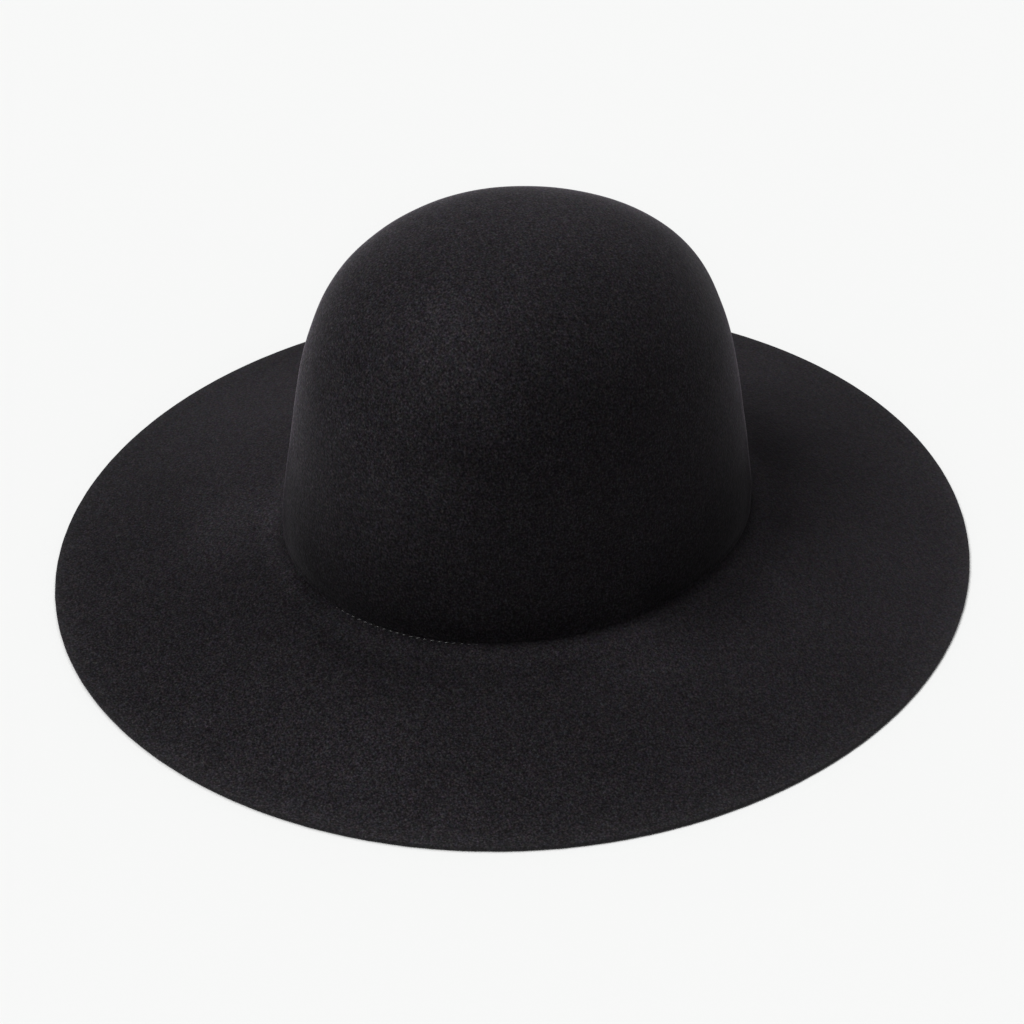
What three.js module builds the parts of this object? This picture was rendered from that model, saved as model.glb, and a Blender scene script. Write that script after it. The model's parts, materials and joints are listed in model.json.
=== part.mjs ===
// Wide-brimmed felt hat with a plain round crown: crown and brim are one piece of blocked wool felt, open
// underneath, with a raw cut edge. It rests on its brim.
// Millimetres, +Z up, front of the hat towards -Y. The origin is under the middle of the hat, on the surface it
// rests on.
import * as THREE from "three";

// ---- driving dimensions ----
const FELT = 2.0; // thickness of the felt
const HEAD_HALF_WIDTH = 85.9; // outside of the crown at its foot, ear to ear
const HEAD_HALF_LENGTH = 101.6; // outside of the crown at its foot, front to back
const HEAD_EGG = -0.03; // how much wider the head oval is behind its middle than in front (negative: in front)
const BRIM_HALF_WIDTH = 181.1; // middle of the hat to the brim's edge, at the side
const BRIM_HALF_LENGTH = 196.5; // and at the front and back
const BRIM_FORWARD = 1.4; // the brim sits this much towards the front
const CREASE_HEIGHT = 23.9; // where the outside of the crown meets the top of the brim
const CREASE_TIGHT = 1.8; // where it is tightest, the bend there starts this far up the crown and ends this far out
const CREASE_SOFT = 4.0; // and on the rest of the hat, this far
const TIGHT_AT = -31; // the tightest place's angle in degrees from the hat's +X side
const TIGHT_SPREAD = 44; // and how far it reaches each way round the hat, in degrees
const FOOT_DRAWN = 1.3; // the stitches draw the foot of the crown in by this much
const FOOT_REACH = 6.0; // and up to about this height above the crease
const REST_RING = 0.085; // outer share of the brim that lies flat on the surface
const EDGE_ROUND = 0.45; // the felt's cut edge is broken by this much
const CENTRE_X = -0.19; // brings the middle of the outline to the origin, sideways
const CENTRE_Y = 1.47; // and lengthways
const SEGMENTS = 72; // facets round the hat

// The crown from its foot to its top: height above the crease in mm, and the size of its oval there as a share
// of the head oval, at the side, the front and the back.
const CROWN = [
  { height: 0.0, side: 1.005, front: 0.998, back: 1.005 },
  { height: 22.4, side: 0.979, front: 0.9755, back: 0.977 },
  { height: 44.4, side: 0.95, front: 0.944, back: 0.946 },
  { height: 66.4, side: 0.918, front: 0.9145, back: 0.913 },
  { height: 84.4, side: 0.882, front: 0.882, back: 0.876 },
  { height: 97.4, side: 0.844, front: 0.843, back: 0.835 },
  { height: 108.4, side: 0.799, front: 0.796, back: 0.788 },
  { height: 117.4, side: 0.743, front: 0.736, back: 0.727 },
  { height: 124.4, side: 0.677, front: 0.664, back: 0.655 },
  { height: 129.9, side: 0.595, front: 0.58, back: 0.571 },
  { height: 134.4, side: 0.489, front: 0.474, back: 0.467 },
  { height: 137.7, side: 0.353, front: 0.341, back: 0.336 },
  { height: 139.7, side: 0.18, front: 0.174, back: 0.172 },
  { height: 140.4, side: 0.0, front: 0.0, back: 0.0 },
];

// The top of the brim from the crease to its edge: how far out, as a share of the brim's width, and the height
// left there, as a share of the crease's height above the lying edge.
const BRIM = [
  { out: 0.0, left: 1.0 },
  { out: 0.2, left: 0.763 },
  { out: 0.4, left: 0.522 },
  { out: 0.6, left: 0.291 },
  { out: 0.72, left: 0.163 },
  { out: 0.82, left: 0.068 },
  { out: 0.88, left: 0.021 },
  { out: 0.915, left: 0.0 },
  { out: 1.0, left: 0.0 },
];

// Soft waves that the brim keeps between the crown and its edge: how many round the hat, how high in mm, and
// the angle of the first crest in degrees from the hat's +X side.
const BRIM_WAVES = [
  { waves: 2, high: 0.5, crest: 40 },
  { waves: 3, high: 0.55, crest: 75 },
  { waves: 5, high: 0.3, crest: 20 },
];

// The cut edge isn't a perfect oval: how many bulges round the hat, how far out in mm, where the first one is.
const EDGE_BULGES = [
  { bulges: 3, out: 0.25, at: 356 },
  { bulges: 4, out: 0.22, at: 355 },
  { bulges: 5, out: 0.13, at: 49 },
];

// ---- helpers ----
const rad = (deg) => (deg * Math.PI) / 180;
const mix = (a, b, t) => a + (b - a) * t;

// A smooth curve through the rows of a table: the row's named value at a place along the table, 0 to 1.
function alongRows(rows, name, place) {
  const at = Math.min(Math.max(place, 0), 1) * (rows.length - 1);
  const i = Math.min(Math.floor(at), rows.length - 2);
  const t = at - i;
  const value = (k) => {
    if (k < 0) return 2 * rows[0][name] - rows[1][name];
    if (k >= rows.length) return 2 * rows[rows.length - 1][name] - rows[rows.length - 2][name];
    return rows[k][name];
  };
  const [p0, p1, p2, p3] = [value(i - 1), value(i), value(i + 1), value(i + 2)];
  return 0.5 * (2 * p1 + (p2 - p0) * t + (2 * p0 - 5 * p1 + 4 * p2 - p3) * t * t + (3 * p1 - p0 - 3 * p2 + p3) * t ** 3);
}

// A point of the crown's outside. place runs from 0 at the crease to 1 at the top, angle in radians from +X.
function crownPoint(place, angle) {
  const c = Math.cos(angle);
  const s = Math.sin(angle);
  const end = s < 0 ? "front" : "back";
  const share = mix(alongRows(CROWN, "side", place), alongRows(CROWN, end, place), s * s);
  const height = alongRows(CROWN, "height", place);
  const drawn = FOOT_DRAWN * Math.exp(-((height / FOOT_REACH) ** 2));
  return new THREE.Vector3(
    (HEAD_HALF_WIDTH * share - drawn) * c * (1 + HEAD_EGG * s) + CENTRE_X,
    (HEAD_HALF_LENGTH * share - drawn) * s + CENTRE_Y,
    CREASE_HEIGHT + height,
  );
}

// A point of the brim's top. out runs from 0 at the crease to 1 at the edge.
function brimPoint(out, angle) {
  const c = Math.cos(angle);
  const s = Math.sin(angle);
  const inner = crownPoint(0, angle);
  const bulge = EDGE_BULGES.reduce((sum, row) => sum + row.out * Math.cos(row.bulges * (angle - rad(row.at))), 0);
  const outer = new THREE.Vector3(
    (BRIM_HALF_WIDTH + bulge) * c + CENTRE_X,
    (BRIM_HALF_LENGTH + bulge) * s - BRIM_FORWARD + CENTRE_Y,
    FELT,
  );
  // find the place in the table whose row is this far out
  let low = 0;
  let high = 1;
  for (let k = 0; k < 40; k += 1) {
    const middle = (low + high) / 2;
    if (alongRows(BRIM, "out", middle) < out) low = middle;
    else high = middle;
  }
  const left = Math.max(0, alongRows(BRIM, "left", low));
  const span = 1 - REST_RING;
  const swell = out < span ? Math.sin((Math.PI * out) / span) ** 2 : 0;
  const wave = BRIM_WAVES.reduce((sum, row) => sum + row.high * Math.cos(row.waves * (angle - rad(row.crest))), 0);
  return new THREE.Vector3(
    mix(inner.x, outer.x, out),
    mix(inner.y, outer.y, out),
    out < span ? FELT + (CREASE_HEIGHT - FELT) * left + swell * wave : FELT,
  );
}

// How far the bend at the crease reaches up the crown and out on the brim, in mm, as a place on the crown and as
// a share of the brim.
function reach(angle) {
  const off = ((((angle * 180) / Math.PI - TIGHT_AT + 180) % 360) + 360) % 360 - 180;
  return mix(CREASE_SOFT, CREASE_TIGHT, Math.exp(-((off / TIGHT_SPREAD) ** 4)));
}
const crownReach = (angle) => reach(angle) / CROWN[1].height / (CROWN.length - 1);
const brimReach = (angle) => reach(angle) / (BRIM_HALF_WIDTH - HEAD_HALF_WIDTH);

// The bend at the crease, from the crown (t = 0) to the brim (t = 1).
function bendPoint(t, angle) {
  const a = crownPoint(crownReach(angle), angle);
  const b = crownPoint(0, angle);
  const c = brimPoint(brimReach(angle), angle);
  return a.multiplyScalar((1 - t) ** 2).addScaledVector(b, 2 * t * (1 - t)).addScaledVector(c, t * t);
}

// The whole outside, from the top of the crown (v = 0) over the bend (v = 1 to 2) to where the brim starts to lie
// flat (v = LIE).
const LIE = 2.8;
function outside(v, angle) {
  if (v < 1) return crownPoint(mix(1, crownReach(angle), v), angle);
  if (v < 2) return bendPoint(v - 1, angle);
  return brimPoint(mix(brimReach(angle), 1 - REST_RING, Math.min((v - 2) / (LIE - 2), 1)), angle);
}

// The felt's inside face: the outside moved in by the felt's thickness, square to the surface.
function inside(v, angle) {
  const step = 1e-3;
  const here = outside(v, angle);
  const down = outside(v + step, angle).sub(outside(v - step, angle));
  const round = outside(v, angle + step).sub(outside(v, angle - step));
  const normal = down.cross(round).normalize();
  return here.addScaledVector(normal, -FELT);
}

// ---- the rings of the felt's closed section, outside face first ----
const spread = (from, to, count) => Array.from({ length: count }, (_, i) => mix(from, to, (i + 1) / (count + 1)));
const outerRows = [...spread(0, 1, 15), 1, 1.25, 1.5, 1.75, 2, ...spread(2, LIE, 7), LIE];
const innerRows = [...outerRows].reverse();

const top = CREASE_HEIGHT + CROWN[CROWN.length - 1].height;
const ringPoint = [];
ringPoint.push(() => new THREE.Vector3(CENTRE_X, CENTRE_Y, top));
outerRows.forEach((v) => ringPoint.push((angle) => outside(v, angle)));
const edgeAt = (drop, pull) => (angle) => {
  const p = brimPoint(1, angle);
  const q = brimPoint(1 - pull / (BRIM_HALF_WIDTH - HEAD_HALF_WIDTH), angle);
  return new THREE.Vector3(q.x, q.y, p.z - drop);
};
ringPoint.push(edgeAt(0, EDGE_ROUND), edgeAt(EDGE_ROUND, 0), edgeAt(FELT - EDGE_ROUND, 0), edgeAt(FELT, EDGE_ROUND));
innerRows.forEach((v) =>
  ringPoint.push((angle) => {
    if (v < LIE) return inside(v, angle);
    const p = outside(v, angle);
    return new THREE.Vector3(p.x, p.y, 0);
  }),
);
ringPoint.push(() => new THREE.Vector3(CENTRE_X, CENTRE_Y, top - FELT));
ringPoint.reverse(); // from the inside to the outside, so that the faces look out

// A round lathe of the section gives the rings and facets, and each vertex is then moved to the hat's ovals.
const section = ringPoint.map((point, i) => {
  const p = point(0);
  return new THREE.Vector2(i === 0 || i === ringPoint.length - 1 ? 0 : p.x, p.z);
});
const geometry = new THREE.LatheGeometry(section, SEGMENTS);
const position = geometry.getAttribute("position");
for (let segment = 0; segment <= SEGMENTS; segment += 1) {
  const angle = (2 * Math.PI * (segment % SEGMENTS)) / SEGMENTS;
  ringPoint.forEach((point, i) => {
    const p = point(angle);
    position.setXYZ(segment * ringPoint.length + i, p.x, p.y, p.z);
  });
}
geometry.deleteAttribute("uv");
geometry.computeVertexNormals();

const felt = new THREE.MeshStandardMaterial({ color: 0x1b1b1e, roughness: 0.95, metalness: 0, side: THREE.DoubleSide });
const feltBody = new THREE.Mesh(geometry, felt);
feltBody.name = "felt_body";

const hat = new THREE.Group();
hat.name = "hat";
hat.add(feltBody);
export default hat;
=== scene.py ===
"""A black wool felt hat with a wide brim and a plain round crown, resting on its brim on a pale studio floor."""

import json
import math

import bpy
import numpy as np
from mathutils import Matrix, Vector

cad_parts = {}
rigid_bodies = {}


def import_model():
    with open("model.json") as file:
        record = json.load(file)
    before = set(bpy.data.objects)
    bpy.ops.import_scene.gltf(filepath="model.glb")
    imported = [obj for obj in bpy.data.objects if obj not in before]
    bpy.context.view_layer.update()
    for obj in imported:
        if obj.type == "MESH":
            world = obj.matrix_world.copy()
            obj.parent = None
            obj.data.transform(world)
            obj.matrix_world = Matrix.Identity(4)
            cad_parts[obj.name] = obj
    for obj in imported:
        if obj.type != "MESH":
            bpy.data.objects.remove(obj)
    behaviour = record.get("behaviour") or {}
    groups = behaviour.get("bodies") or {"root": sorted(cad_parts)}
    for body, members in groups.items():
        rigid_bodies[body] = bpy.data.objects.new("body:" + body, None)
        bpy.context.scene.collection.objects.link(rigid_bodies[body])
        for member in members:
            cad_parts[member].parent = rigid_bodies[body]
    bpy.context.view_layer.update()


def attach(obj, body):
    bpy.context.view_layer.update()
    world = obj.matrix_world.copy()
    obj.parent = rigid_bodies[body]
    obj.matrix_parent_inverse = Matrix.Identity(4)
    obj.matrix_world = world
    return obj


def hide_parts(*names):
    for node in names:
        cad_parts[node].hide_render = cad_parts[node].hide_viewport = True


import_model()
scene = bpy.context.scene
for extra in [o for o in scene.objects if o.type in ("CAMERA", "LIGHT") or o.name == "Cube"]:
    bpy.data.objects.remove(extra)

MM = 0.001

# ---- the hat's sizes, in millimetres: the same as the solid's ----
FELT = 2.0
HEAD_HALF_WIDTH = 85.9
HEAD_HALF_LENGTH = 101.6
HEAD_EGG = -0.03
BRIM_HALF_WIDTH = 181.1
BRIM_HALF_LENGTH = 196.5
BRIM_FORWARD = 1.4
CREASE_HEIGHT = 23.9
CREASE_TIGHT = 1.8  # reach of the bend at the crease where it is tightest
CREASE_SOFT = 4.0  # and on the rest of the hat
TIGHT_AT, TIGHT_SPREAD = -31, 44  # degrees
FOOT_DRAWN, FOOT_REACH = 1.3, 6.0  # the stitches draw the foot of the crown in by this much, up to about this height
REST_RING = 0.085
CENTRE_X = -0.19
CENTRE_Y = 1.47

CROWN = {
    "height": [0.0, 22.4, 44.4, 66.4, 84.4, 97.4, 108.4, 117.4, 124.4, 129.9, 134.4, 137.7, 139.7, 140.4],
    "side": [1.005, 0.979, 0.95, 0.918, 0.882, 0.844, 0.799, 0.743, 0.677, 0.595, 0.489, 0.353, 0.18, 0.0],
    "front": [0.998, 0.9755, 0.944, 0.9145, 0.882, 0.843, 0.796, 0.736, 0.664, 0.58, 0.474, 0.341, 0.174, 0.0],
    "back": [1.005, 0.977, 0.946, 0.913, 0.876, 0.835, 0.788, 0.727, 0.655, 0.571, 0.467, 0.336, 0.172, 0.0],
}
BRIM = {
    "out": [0.0, 0.2, 0.4, 0.6, 0.72, 0.82, 0.88, 0.915, 1.0],
    "left": [1.0, 0.763, 0.522, 0.291, 0.163, 0.068, 0.021, 0.0, 0.0],
}
BRIM_WAVES = [(2, 0.5, 40), (3, 0.55, 75), (5, 0.3, 20)]  # how many round the hat, how high, first crest's angle
EDGE_BULGES = [(3, 0.25, 356), (4, 0.22, 355), (5, 0.13, 49)]  # how many round the hat, how far out, first one's angle


def along_rows(rows, name, place, mirrored=False):
    """A smooth curve through a table's column, at places from 0 to 1 along the table."""
    v = rows[name]
    last = v[-2] if mirrored else 2 * v[-1] - v[-2]
    p = np.array([2 * v[0] - v[1], *v, last], float)
    at = np.clip(place, 0, 1) * (len(v) - 1)
    i = np.minimum(np.floor(at).astype(int), len(v) - 2)
    t = at - i
    p0, p1, p2, p3 = p[i], p[i + 1], p[i + 2], p[i + 3]
    return 0.5 * (
        2 * p1 + (p2 - p0) * t + (2 * p0 - 5 * p1 + 4 * p2 - p3) * t**2 + (3 * p1 - p0 - 3 * p2 + p3) * t**3
    )


def crown_point(place, angle):
    """Outside of the crown: place 0 at the crease to 1 at the top, angle in radians from +X."""
    c, s = np.cos(angle), np.sin(angle)
    end = np.where(s < 0, along_rows(CROWN, "front", place), along_rows(CROWN, "back", place))
    side = along_rows(CROWN, "side", place)
    share = side + (end - side) * s * s
    height = along_rows(CROWN, "height", place, mirrored=True)
    drawn = FOOT_DRAWN * np.exp(-((height / FOOT_REACH) ** 2))
    return np.stack(
        [
            (HEAD_HALF_WIDTH * share - drawn) * c * (1 + HEAD_EGG * s) + CENTRE_X,
            (HEAD_HALF_LENGTH * share - drawn) * s + CENTRE_Y,
            CREASE_HEIGHT + height + 0 * angle,
        ],
        -1,
    )


PLACES = np.linspace(0, 1, 2001)
OUTS = along_rows(BRIM, "out", PLACES)
LEFTS = np.maximum(along_rows(BRIM, "left", PLACES), 0)


def around(rows, angle):
    return sum(size * np.cos(n * (angle - math.radians(at))) for n, size, at in rows)


def brim_point(out, angle):
    """Top of the brim: out 0 at the crease to 1 at the edge."""
    c, s = np.cos(angle), np.sin(angle)
    inner = crown_point(0 * angle, angle)
    bulge = around(EDGE_BULGES, angle)
    x = (BRIM_HALF_WIDTH + bulge) * c + CENTRE_X
    y = (BRIM_HALF_LENGTH + bulge) * s - BRIM_FORWARD + CENTRE_Y
    span = 1 - REST_RING
    left = np.interp(out, OUTS, LEFTS)
    swell = np.where(out < span, np.sin(math.pi * np.clip(out / span, 0, 1)) ** 2, 0)
    z = np.where(out < span, FELT + (CREASE_HEIGHT - FELT) * left + swell * around(BRIM_WAVES, angle), FELT)
    return np.stack([inner[..., 0] + (x - inner[..., 0]) * out, inner[..., 1] + (y - inner[..., 1]) * out, z], -1)


LIE = 2.8  # v where the brim starts to lie flat


def reach(angle):
    """How far the bend at the crease reaches up the crown and out on the brim, in mm."""
    off = (np.degrees(angle) - TIGHT_AT + 180) % 360 - 180
    return CREASE_SOFT + (CREASE_TIGHT - CREASE_SOFT) * np.exp(-((off / TIGHT_SPREAD) ** 4))


def crown_reach(angle):
    return reach(angle) / CROWN["height"][1] / (len(CROWN["height"]) - 1)


def brim_reach(angle):
    return reach(angle) / (BRIM_HALF_WIDTH - HEAD_HALF_WIDTH)


def bend_point(t, angle):
    """The bend at the crease, from the crown at t 0 to the brim at t 1."""
    a = crown_point(crown_reach(angle), angle)
    b = crown_point(0 * angle, angle)
    c = brim_point(brim_reach(angle), angle)
    t = t[..., None] if hasattr(t, "shape") and t.ndim else t
    return a * (1 - t) ** 2 + b * 2 * t * (1 - t) + c * t**2


def outside(v, angle):
    """The whole outside, from the top of the crown at v 0 over the bend to the edge at v 3."""
    v, angle = np.broadcast_arrays(np.asarray(v, float), np.asarray(angle, float))
    crown = crown_point(1 + (crown_reach(angle) - 1) * np.clip(v, 0, 1), angle)
    bend = bend_point(np.clip(v - 1, 0, 1), angle)
    near, lie = brim_reach(angle), 1 - REST_RING
    sloping = near + (lie - near) * np.clip((v - 2) / (LIE - 2), 0, 1)
    brim = brim_point(sloping + REST_RING * np.clip((v - LIE) / (3 - LIE), 0, 1), angle)
    v = v[..., None]
    return np.where(v < 1, crown, np.where(v < 2, bend, brim))


def outward(v, angle):
    step = 1e-3
    down = outside(np.minimum(v + step, 3), angle) - outside(np.maximum(v - step, 0), angle)
    round_ = outside(v, angle + step) - outside(v, angle - step)
    n = np.cross(down, round_)
    return n / np.maximum(np.linalg.norm(n, axis=-1, keepdims=True), 1e-12)


def uneven(p, size, period, seed):
    """A soft unevenness from a few crossing waves: p in mm, size in mm either way."""
    rng = np.random.default_rng(seed)
    total = np.zeros(p.shape[:-1])
    for k in range(9):
        d = rng.normal(size=3)
        d /= np.linalg.norm(d)
        total += np.cos(p @ d * (2 * math.pi / (period * rng.uniform(0.7, 1.6))) + rng.uniform(0, 6.28))
    return size * total / 9 * 1.8


# ---- the felt body: one closed shell, crown and brim in one piece ----
GROOVE_AT, GROOVE_DEEP, GROOVE_WIDE = 0.42, 0.5, 0.55


def softness(p):
    """The unevenness of the pressed felt, in mm."""
    return uneven(p, 0.3, 70, 11) + uneven(p, 0.1, 24, 12)


def groove(v, angle):
    """How deep the stitches draw the felt in, a fine groove along the bend, in mm."""
    across = (v - 1 - GROOVE_AT) * 2 * reach(angle)
    return GROOVE_DEEP * np.exp(-((across / GROOVE_WIDE) ** 2)) * (CREASE_TIGHT / reach(angle)) ** 0.5


SEGMENTS = 288
TOP_ROWS = np.linspace(0, 1, 84)[1:-1]
BEND_ROWS = np.linspace(1, 2, 27)
BRIM_ROWS = np.linspace(2, LIE, 52)[1:]
RING_ROWS = np.linspace(LIE, 3, 7)[1:-1]
OUTER = np.concatenate([TOP_ROWS, BEND_ROWS, BRIM_ROWS, RING_ROWS])

angles = np.arange(SEGMENTS) * 2 * math.pi / SEGMENTS
V, A = np.meshgrid(OUTER, angles, indexing="ij")
outer = outside(V, A)
normal = outward(V, A)
lying = np.clip((LIE - V) / 0.2, 0, 1)[..., None]  # no unevenness where the brim lies flat
soft = softness(outer)[..., None]
outer = outer + normal * soft * lying
inner = outer - normal * FELT
outer = outer - normal * groove(V, A)[..., None]
flat = V >= LIE
inner[flat] = outer[flat]
inner[..., 2] = np.where(flat, 0.0, np.maximum(inner[..., 2], 0.0))

# the cut edge: softly broken corners and a slightly ragged face
edge_rows = []
WIDTH = BRIM_HALF_WIDTH - HEAD_HALF_WIDTH
ragged = 0.06 * np.cos(angles * 61 + 1.0) + 0.05 * np.cos(angles * 97 + 2.4) + 0.05 * np.cos(angles * 143 + 0.3)
for turn in np.linspace(90, -90, 9):
    ct, st = math.cos(math.radians(turn)), math.sin(math.radians(turn))
    corner = 0.55
    pull = corner * (1 - abs(ct) ** 0.8)
    p = brim_point(1 - (pull - 0.5 * ragged * ct) / WIDTH, angles)
    p[:, 2] = FELT / 2 + (FELT / 2) * np.sign(st) * abs(st) ** 0.7
    edge_rows.append(p)
rings = np.concatenate([outer, np.array(edge_rows), inner[::-1]])
top = np.array([CENTRE_X, CENTRE_Y, CREASE_HEIGHT + CROWN["height"][-1]])
top_lift = float(soft[0].mean())
points = np.concatenate([[top + [0, 0, top_lift]], rings.reshape(-1, 3), [top + [0, 0, top_lift - FELT]]]) * MM

n_rings = len(rings)
index = 1 + np.arange(n_rings * SEGMENTS).reshape(n_rings, SEGMENTS)
nxt = np.roll(index, -1, axis=1)
quads = np.stack([index[:-1], index[1:], nxt[1:], nxt[:-1]], -1).reshape(-1, 4)
last = len(points) - 1
faces = [(0, int(a), int(b)) for a, b in zip(index[0], nxt[0])]
faces += [tuple(map(int, q)) for q in quads]
faces += [(last, int(b), int(a)) for a, b in zip(index[-1], nxt[-1])]


def make_mesh(name, points, faces, smooth=True):
    mesh = bpy.data.meshes.new(name)
    mesh.from_pydata([tuple(p) for p in points], [], faces)
    mesh.validate()
    mesh.update()
    if smooth:
        mesh.polygons.foreach_set("use_smooth", [True] * len(mesh.polygons))
    obj = bpy.data.objects.new(name, mesh)
    scene.collection.objects.link(obj)
    return obj


felt_body = make_mesh("felt_body_fine", points, faces)

# ---- the row of stitches along the foot of the crown ----
PITCH = 3.0  # from one stitch to the next
LONG = 2.3  # of one stitch on top of the felt
THICK = 0.42  # of the thread
fine = np.linspace(0, 2 * math.pi, 4001)
STITCH_AT = 0.6  # on the brim's side of the groove
SHOWN_AT, SHOWN_SPREAD = -46, 18.6  # degrees: the stitches lie on the felt there, and sink into it to both sides
line = bend_point(np.full(fine.shape, STITCH_AT), fine)
run = np.concatenate([[0], np.cumsum(np.linalg.norm(np.diff(line, axis=0), axis=1))])
count = int(round(run[-1] / PITCH))
rng = np.random.default_rng(5)
stitch_points, stitch_faces = [], []
SIDES, STEPS = 8, 9
for k in range(count):
    middle = (k + 0.5 + rng.uniform(-0.05, 0.05)) * run[-1] / count
    a = float(np.interp(middle, run, fine))
    off = (math.degrees(a) - SHOWN_AT + 180) % 360 - 180
    lift = 0.12 - 0.5 * (1 - math.exp(-((off / SHOWN_SPREAD) ** 2)))
    if lift < -0.24:
        continue  # the felt closes over the thread
    base = bend_point(np.array(STITCH_AT), np.array(a))
    ahead = bend_point(np.array(STITCH_AT), np.array(a + 1e-3)) - base
    ahead /= np.linalg.norm(ahead)
    up = outward(np.array(1 + STITCH_AT), np.array(a))
    base = base + up * (float(softness(base)) - float(groove(np.array(1 + STITCH_AT), np.array(a))))
    across = np.cross(up, ahead)
    slant = math.radians(14 + rng.uniform(-4, 4))
    along = ahead * math.cos(slant) + across * math.sin(slant)
    side = np.cross(up, along)
    half = LONG / 2 * rng.uniform(0.92, 1.06)
    first = len(stitch_points)
    for i in range(STEPS):
        u = -1 + 2 * i / (STEPS - 1)
        centre = base + along * half * u + up * (lift - 0.42 * u**4)
        wide = THICK / 2 * (1 - 0.35 * u**6)
        for j in range(SIDES):
            w = 2 * math.pi * j / SIDES
            stitch_points.append((centre + side * wide * math.cos(w) + up * wide * math.sin(w)) * MM)
    for i in range(STEPS - 1):
        for j in range(SIDES):
            p, q = first + i * SIDES, first + (i + 1) * SIDES
            stitch_faces.append((p + j, p + (j + 1) % SIDES, q + (j + 1) % SIDES, q + j))
    stitch_faces.append(tuple(first + j for j in reversed(range(SIDES))))
    stitch_faces.append(tuple(first + (STEPS - 1) * SIDES + j for j in range(SIDES)))
stitches = make_mesh("crown_foot_stitches", stitch_points, stitch_faces)


# ---- materials ----
def new_material(name):
    m = bpy.data.materials.new(name)
    m.use_nodes = True
    t = m.node_tree
    t.nodes.clear()
    out = t.nodes.new("ShaderNodeOutputMaterial")
    shader = t.nodes.new("ShaderNodeBsdfPrincipled")
    t.links.new(shader.outputs["BSDF"], out.inputs["Surface"])
    return m, t, shader


def node(t, kind, **values):
    n = t.nodes.new(kind)
    for key, value in values.items():
        if hasattr(n, key):
            setattr(n, key, value)
        else:
            n.inputs[key].default_value = value
    return n


def noise(t, vector, scale, detail=2.0, rough=0.5, distortion=0.0):
    n = t.nodes.new("ShaderNodeTexNoise")
    n.noise_dimensions = "3D"
    t.links.new(vector, n.inputs["Vector"])
    n.inputs["Scale"].default_value = scale
    n.inputs["Detail"].default_value = detail
    n.inputs["Roughness"].default_value = rough
    n.inputs["Distortion"].default_value = distortion
    return n.outputs["Fac"]


def maths(t, operation, a, b=None, clamp=False):
    n = t.nodes.new("ShaderNodeMath")
    n.operation = operation
    n.use_clamp = clamp
    for socket, value in zip(n.inputs, (a, b)):
        if value is None:
            continue
        if isinstance(value, (int, float)):
            socket.default_value = value
        else:
            t.links.new(value, socket)
    return n.outputs[0]


def stretched(t, vector, scale, turn):
    n = t.nodes.new("ShaderNodeMapping")
    n.vector_type = "POINT"
    t.links.new(vector, n.inputs["Vector"])
    n.inputs["Rotation"].default_value = [math.radians(x) for x in turn]
    n.inputs["Scale"].default_value = scale
    return n.outputs["Vector"]


FELT_COLOUR = (0.0153, 0.0139, 0.0159)
# how strongly the colour varies: fibres, specks, clumps of wool, slow mottling
FIBRES, SPECKS, CLUMPS, MOTTLING = 2.2, 3.2, 0.75, 0.3
# the wool is coarser towards the front left and smoother behind: change per metre along x, y and z, and at the origin
ROUGHER = (2.05, -1.98, 1.2, 0.60)
DYE = 0.5  # how much the three colours vary from fibre to fibre
# painted sheen where the surface is seen edge on: how much paler the edge-on fuzz is, how much painted rim glow it adds
# at the very outline, and how fast the fuzz covers a surface seen edge on
PAINTED_SHEEN_PALENESS, PAINTED_RIM_GLOW, NAP_SHOWS = 3.3, 10.0, 2.0
# painted shade and painted light on that edge-on sheen up the crown, darker low on the crown and paler high up: around
# this height in mm, over this reach in mm, by this share
PAINTED_SHEEN_BY_HEIGHT = [
    (40, 26, -0.38),
    (100, 22, 0.30),
]
# and painted light and shade along the crease: painted light on the brim beside it and painted shade on the crown's
# foot, in the same columns
PAINTED_LIGHT_AND_SHADE_AT_CREASE = [
    (22.3, 1.3, 0.34),
    (30, 8, -0.15),
]
# soft places that are paler or darker: partly where the nap lies another way, partly painted shade and painted light,
# such as the crown's painted shadow on the brim behind it at the right, a darker crown foot and a paler brim beside the
# crease: middle of the place in mm, how far it reaches in mm, how strongly
NAP_AND_PAINTED_SHADING = [
    (-135, -78, 7, 60, 0.25),
    (77, 157, 4, 40, 0.22),
    (-23, 119, 19, 40, -0.34),
    (8, -143, 11, 40, -0.20),
    (9, -68, 146, 40, 0.22),
    (-10, 20, 163, 28, 0.36),
    (35, 17, 159, 20, -0.17),
    (70, 10, 126, 28, -0.18),
    (44, -77, 88, 20, 0.36),
    (70, -69, 23, 20, -0.21),
    (52, 76, 57, 24, -0.25),
    (16, -96, 42, 16, -0.35),
    (47, -43, 146, 16, 0.30),
    (-71, -145, 7, 36, -0.15),
    (-25, 119, 19, 24, -0.16),
    (5, -54, 155, 24, -0.17),
    (44, 86, 43, 16, -0.28),
    (94, 18, 21, 16, 0.32),
    (68, 89, 19, 11, 0.22),
    (69, -33, 114, 16, -0.15),
    (-33, -91, 40, 16, -0.60),
    (27, -97, 24, 11, -0.18),
    (26, 93, 32, 14, -0.10),
    (23, 96, 56, 11, 0.32),
    (-42, -108, 21, 14, 0.42),
    (121, -110, 5, 40, 0.12),
    (138, -19, 9, 40, -0.12),
    (-40, -116, 18, 36, 0.09),
    (-88, 163, 2, 24, 0.16),
    (9, 183, 3, 24, 0.15),
    (14, 93, 92, 24, 0.25),
    (-26, -41, 157, 16, 0.18),
    (78, 36, 37, 11, -0.20),
    (64, 62, 36, 11, -0.10),
    (45, -92, 23, 16, -0.09),
]


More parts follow.
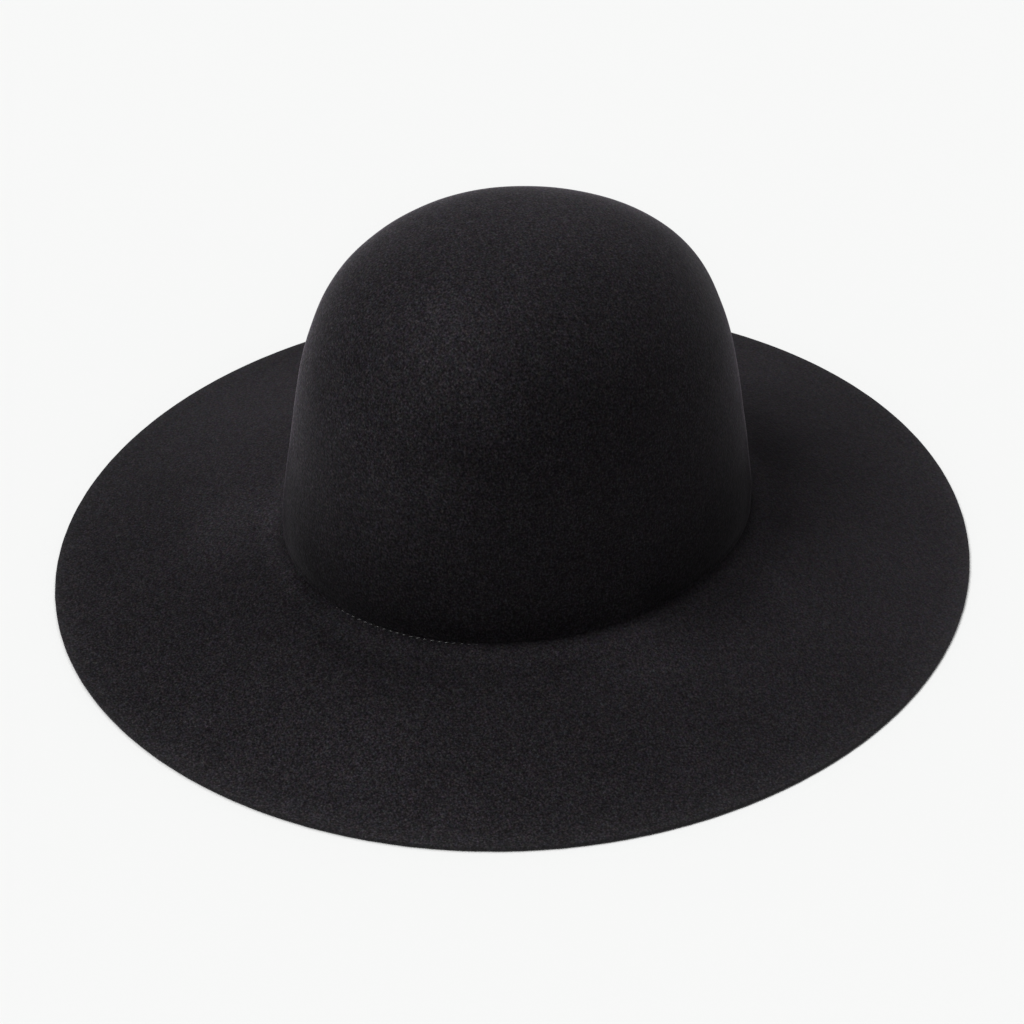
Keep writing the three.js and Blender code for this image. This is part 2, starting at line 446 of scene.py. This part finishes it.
def felt_material():
    m, t, shader = new_material("black_wool_felt")
    where = t.nodes.new("ShaderNodeTexCoord").outputs["Object"]
    # short fibres lying every way: three sets of stretched grain, each bent by a slow noise
    warp = t.nodes.new("ShaderNodeTexNoise")
    t.links.new(where, warp.inputs["Vector"])
    warp.inputs["Scale"].default_value = 160
    warp.inputs["Detail"].default_value = 1.0
    bent = t.nodes.new("ShaderNodeVectorMath")
    bent.operation = "MULTIPLY_ADD"
    t.links.new(warp.outputs["Color"], bent.inputs[0])
    bent.inputs[1].default_value = (0.004, 0.004, 0.004)
    t.links.new(where, bent.inputs[2])
    bent = bent.outputs["Vector"]
    sets = []
    for turn in ((10, 20, 35), (70, -35, 110), (-40, 65, -20)):
        q = stretched(t, bent, (1.0, 1.0, 0.35), turn)
        sets.append(noise(t, q, 1500, detail=1.0, rough=0.5))
    fibre = maths(t, "MAXIMUM", maths(t, "MAXIMUM", sets[0], sets[1]), sets[2])
    grain = noise(t, where, 1150, detail=1.0, rough=0.5)
    clump = noise(t, where, 330, detail=2.0, rough=0.5)
    patch = noise(t, where, 34, detail=3.0, rough=0.55)
    # colour: nearly black, with paler fibre tips and slow mottling
    tone = 0.0
    for value, middle, share in ((fibre, 0.58, FIBRES), (grain, 0.5, SPECKS), (clump, 0.5, CLUMPS), (patch, 0.5, MOTTLING)):
        tone = maths(t, "ADD", tone, maths(t, "MULTIPLY", maths(t, "SUBTRACT", value, middle), share))
    rough = t.nodes.new("ShaderNodeVectorMath")
    rough.operation = "DOT_PRODUCT"
    t.links.new(where, rough.inputs[0])
    rough.inputs[1].default_value = ROUGHER[:3]
    rough = maths(t, "MINIMUM", maths(t, "MAXIMUM", maths(t, "ADD", rough.outputs["Value"], ROUGHER[3]), 0.50), 1.05)
    tone = maths(t, "EXPONENT", maths(t, "MULTIPLY", tone, rough))
    # places where the nap lies another way, and places of painted shade and painted light, with wandering outlines
    slow = t.nodes.new("ShaderNodeTexNoise")
    t.links.new(where, slow.inputs["Vector"])
    slow.inputs["Scale"].default_value = 22
    slow.inputs["Detail"].default_value = 2.0
    wander = t.nodes.new("ShaderNodeVectorMath")
    wander.operation = "MULTIPLY_ADD"
    t.links.new(slow.outputs["Color"], wander.inputs[0])
    wander.inputs[1].default_value = (0.04, 0.04, 0.04)
    t.links.new(where, wander.inputs[2])
    nap_tone_and_painted_shading = 1.0
    # each place adds to the colour either a real change where the nap lies or painted shade or painted light
    for x, y, z, reach_mm, strength in NAP_AND_PAINTED_SHADING:
        apart = t.nodes.new("ShaderNodeVectorMath")
        apart.operation = "DISTANCE"
        t.links.new(wander.outputs["Vector"], apart.inputs[0])
        apart.inputs[1].default_value = (x * MM + 0.02, y * MM + 0.02, z * MM + 0.02)
        far = maths(t, "MULTIPLY", apart.outputs["Value"], 1 / (reach_mm * MM * math.sqrt(2)))
        near = maths(t, "EXPONENT", maths(t, "MULTIPLY", maths(t, "MULTIPLY", far, far), -1.0))
        nap_tone_and_painted_shading = maths(t, "ADD", nap_tone_and_painted_shading, maths(t, "MULTIPLY", near, strength))
    apart = t.nodes.new("ShaderNodeSeparateXYZ")
    t.links.new(where, apart.inputs["Vector"])

    def in_bands(table):
        total = 1.0
        for z, reach_mm, share in table:
            far = maths(t, "MULTIPLY", maths(t, "SUBTRACT", apart.outputs["Z"], z * MM), 1 / (reach_mm * MM))
            near = maths(t, "EXPONENT", maths(t, "MULTIPLY", maths(t, "MULTIPLY", far, far), -1.0))
            total = maths(t, "ADD", total, maths(t, "MULTIPLY", near, share))
        return total

    # the colour takes the nap places with their painted shade and light, and the painted light on the brim and painted
    # shade on the crown's foot along the crease
    tone = maths(t, "MULTIPLY", maths(t, "MULTIPLY", tone, nap_tone_and_painted_shading), in_bands(PAINTED_LIGHT_AND_SHADE_AT_CREASE))
    # the dye takes a little differently from fibre to fibre
    hue = t.nodes.new("ShaderNodeTexNoise")
    t.links.new(where, hue.inputs["Vector"])
    hue.inputs["Scale"].default_value = 700
    hue.inputs["Detail"].default_value = 1.0
    dye = t.nodes.new("ShaderNodeVectorMath")
    dye.operation = "MULTIPLY_ADD"
    t.links.new(hue.outputs["Color"], dye.inputs[0])
    dye.inputs[1].default_value = [c * DYE for c in FELT_COLOUR]
    dye.inputs[2].default_value = [c * (1 - DYE / 2) for c in FELT_COLOUR]
    colour = t.nodes.new("ShaderNodeVectorMath")
    colour.operation = "SCALE"
    t.links.new(dye.outputs["Vector"], colour.inputs[0])
    t.links.new(tone, colour.inputs["Scale"])
    t.links.new(colour.outputs["Vector"], shader.inputs["Base Color"])
    shader.inputs["Roughness"].default_value = 0.92
    shader.inputs["Specular IOR Level"].default_value = 0.0
    shader.inputs["Sheen Weight"].default_value = 0.09
    shader.inputs["Sheen Roughness"].default_value = 0.385
    shader.inputs["Sheen Tint"].default_value = (0.97, 0.95, 1.0, 1)
    # relief: fibres, clumps and a faint unevenness of the pressed surface
    height = maths(t, "MULTIPLY", fibre, 0.5)
    height = maths(t, "ADD", height, maths(t, "MULTIPLY", grain, 0.4))
    height = maths(t, "ADD", height, maths(t, "MULTIPLY", clump, 0.8))
    bump = t.nodes.new("ShaderNodeBump")
    bump.inputs["Strength"].default_value = 0.75
    bump.inputs["Distance"].default_value = 0.00035
    t.links.new(height, bump.inputs["Height"])
    t.links.new(bump.outputs["Normal"], shader.inputs["Normal"])
    # painted sheen of the nap: where the surface is seen edge on it is covered by a paler fuzz, with painted rim glow
    # at the very outline and painted shade and light by height
    painted_sheen_colour = t.nodes.new("ShaderNodeVectorMath")
    painted_sheen_colour.operation = "SCALE"
    t.links.new(colour.outputs["Vector"], painted_sheen_colour.inputs[0])
    edge_on = t.nodes.new("ShaderNodeLayerWeight").outputs["Facing"]
    # painted rim glow at the very outline, and the painted sheen darker or paler by height
    rim_glow_painted = maths(t, "MULTIPLY", maths(t, "POWER", edge_on, 22.0), PAINTED_RIM_GLOW)
    sheen_painted_by_height = maths(t, "MULTIPLY", in_bands(PAINTED_SHEEN_BY_HEIGHT), PAINTED_SHEEN_PALENESS)
    t.links.new(maths(t, "ADD", rim_glow_painted, sheen_painted_by_height), painted_sheen_colour.inputs["Scale"])
    fuzz = t.nodes.new("ShaderNodeBsdfDiffuse")
    t.links.new(painted_sheen_colour.outputs["Vector"], fuzz.inputs["Color"])
    t.links.new(bump.outputs["Normal"], fuzz.inputs["Normal"])
    blend = t.nodes.new("ShaderNodeMixShader")
    t.links.new(maths(t, "MULTIPLY", maths(t, "POWER", edge_on, 6.5), NAP_SHOWS, clamp=True), blend.inputs["Fac"])
    t.links.new(shader.outputs["BSDF"], blend.inputs[1])
    t.links.new(fuzz.outputs["BSDF"], blend.inputs[2])
    t.links.new(blend.outputs["Shader"], t.nodes["Material Output"].inputs["Surface"])
    return m


def thread_material():
    m, t, shader = new_material("black_thread")
    where = t.nodes.new("ShaderNodeTexCoord").outputs["Object"]
    twist = noise(t, where, 2600, detail=2.0, rough=0.5)
    ramp = t.nodes.new("ShaderNodeValToRGB")
    t.links.new(twist, ramp.inputs["Fac"])
    ramp.color_ramp.elements[0].color = (0.010, 0.010, 0.0102, 1)
    ramp.color_ramp.elements[1].color = (0.026, 0.026, 0.0265, 1)
    t.links.new(ramp.outputs["Color"], shader.inputs["Base Color"])
    shader.inputs["Roughness"].default_value = 0.3
    shader.inputs["Specular IOR Level"].default_value = 0.8
    bump = t.nodes.new("ShaderNodeBump")
    bump.inputs["Strength"].default_value = 0.6
    bump.inputs["Distance"].default_value = 0.0001
    t.links.new(twist, bump.inputs["Height"])
    t.links.new(bump.outputs["Normal"], shader.inputs["Normal"])
    return m


felt_body.data.materials.append(felt_material())
stitches.data.materials.append(thread_material())

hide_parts("felt_body")
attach(felt_body, "root")
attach(stitches, "root")

# ---- floor, light and camera ----
size = 30.0
floor = make_mesh(
    "studio_floor",
    [(-size, -size, 0), (size, -size, 0), (size, size, 0), (-size, size, 0)],
    [(0, 1, 2, 3)],
    smooth=False,
)
m, t, shader = new_material("pale_floor")
shader.inputs["Base Color"].default_value = (0.86, 0.865, 0.86, 1)
shader.inputs["Roughness"].default_value = 0.9
shader.inputs["Specular IOR Level"].default_value = 0.1
floor.data.materials.append(m)

VIEW_AZIMUTH, VIEW_ELEVATION = 70.624, 38.359
TARGET = Vector((-1.072, -1.037, 22.744)) * MM
DISTANCE = 1.5
LENS = 124.196


def direction(azimuth, elevation):
    a, e = math.radians(azimuth), math.radians(elevation)
    return Vector((math.sin(a) * math.cos(e), -math.cos(a) * math.cos(e), math.sin(e)))


camera = bpy.data.objects.new("camera", bpy.data.cameras.new("camera"))
scene.collection.objects.link(camera)
camera.data.lens = LENS
camera.data.sensor_width = 36.0
camera.data.clip_start, camera.data.clip_end = 0.05, 200
camera.location = TARGET + direction(VIEW_AZIMUTH, VIEW_ELEVATION) * DISTANCE
camera.rotation_mode = "QUATERNION"
camera.rotation_quaternion = (TARGET - camera.location).to_track_quat("-Z", "Y")
scene.camera = camera

world = bpy.data.worlds.new("studio")
world.use_nodes = True
around_it = world.node_tree
fill = around_it.nodes["Background"]
fill.inputs["Color"].default_value = (1.0, 1.0, 1.0, 1)
fill.inputs["Strength"].default_value = 0.12
# where the studio's backdrop itself is seen, it is as pale as the floor
backdrop = around_it.nodes.new("ShaderNodeBackground")
backdrop.inputs["Color"].default_value = (0.909, 0.914, 0.909, 1)
backdrop.inputs["Strength"].default_value = 1.0
either = around_it.nodes.new("ShaderNodeMixShader")
around_it.links.new(around_it.nodes.new("ShaderNodeLightPath").outputs["Is Camera Ray"], either.inputs["Fac"])
around_it.links.new(fill.outputs["Background"], either.inputs[1])
around_it.links.new(backdrop.outputs["Background"], either.inputs[2])
around_it.links.new(either.outputs["Shader"], around_it.nodes["World Output"].inputs["Surface"])
scene.world = world

VEIL, VEIL_SIZE = 0.033, 0.1

# soft studio lights: name, angle round the hat from the camera (90 is to its right), elevation, how wide it looks, strength
LIGHTS = [
    ("key_left", 280, 60, 24, 1.09),
    ("overhead_left", 240, 76, 24, 1.34),
    ("back_right", 140, 60, 24, 0.52),
    ("back", 180, 60, 24, 0.29),
]
for name, angle, elevation, wide, strength in LIGHTS:
    data = bpy.data.lights.new(name, "SUN")
    data.angle = math.radians(wide)
    data.energy = strength
    lamp = bpy.data.objects.new(name, data)
    scene.collection.objects.link(lamp)
    towards = direction(VIEW_AZIMUTH + angle, elevation)
    lamp.location = towards * 2
    lamp.rotation_mode = "QUATERNION"
    lamp.rotation_quaternion = (-towards).to_track_quat("-Z", "Y")

scene.view_settings.view_transform = "Standard"
scene.view_settings.look = "None"
scene.view_settings.exposure = 0.0
scene.view_settings.gamma = 1.0

# the lens adds a faint veil of light round the bright floor
scene.use_nodes = True
after = scene.node_tree
after.nodes.clear()
layers = after.nodes.new("CompositorNodeRLayers")
veil = after.nodes.new("CompositorNodeGlare")
veil.glare_type = "BLOOM"
veil.quality = "HIGH"
for name, value in (("Threshold", 0.0), ("Smoothness", 0.0), ("Strength", VEIL), ("Size", VEIL_SIZE)):
    veil.inputs[name].default_value = value
composite = after.nodes.new("CompositorNodeComposite")
after.links.new(layers.outputs["Image"], veil.inputs["Image"])
after.links.new(veil.outputs["Image"], composite.inputs["Image"])
